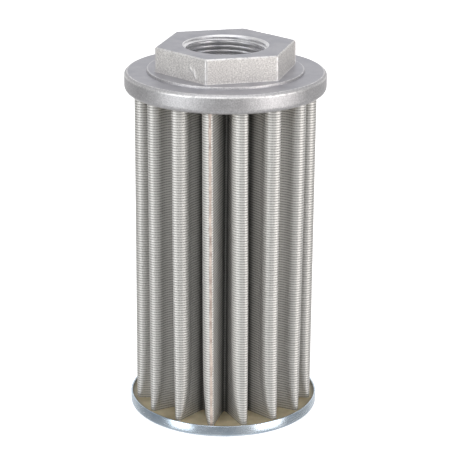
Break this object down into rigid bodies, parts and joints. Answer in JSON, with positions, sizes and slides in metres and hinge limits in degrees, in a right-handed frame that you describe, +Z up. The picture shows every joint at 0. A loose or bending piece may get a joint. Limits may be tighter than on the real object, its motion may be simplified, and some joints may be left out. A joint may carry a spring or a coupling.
{
  "type": "hydraulic filter",
  "caption": "Hydraulic suction strainer: hexagonal cast head with a threaded port and flange over a pleated wire-cloth element on a perforated core, closed by a shallow plated cap.",
  "frame": {"origin": "centre of the bottom cap's underside", "axes": "+Z up along the filter's axis, from the bottom cap to the port; +X through a corner of the head's hexagon"},
  "size_m": [0.099, 0.099, 0.188],
  "materials": {
    "cast_aluminium": "die cast, finely pitted sides, smoother top, bright worn edges",
    "wire_cloth": "woven stainless wire, close upright wires under heavier level ones",
    "seam_adhesive": "dark cured bead",
    "core_steel": "plated sheet, dull",
    "cap_steel": "bright bluish zinc plate",
    "potting_compound": "cast amber compound, slightly uneven"
  },
  "bodies": {
    "root": {"head": "cast_aluminium", "pleated_mesh": "wire_cloth", "seam_bead": "seam_adhesive", "support_tube": "core_steel", "bottom_cap": "cap_steel", "bottom_potting": "potting_compound", "top_potting": "potting_compound"}
  },
  "joints": []
}
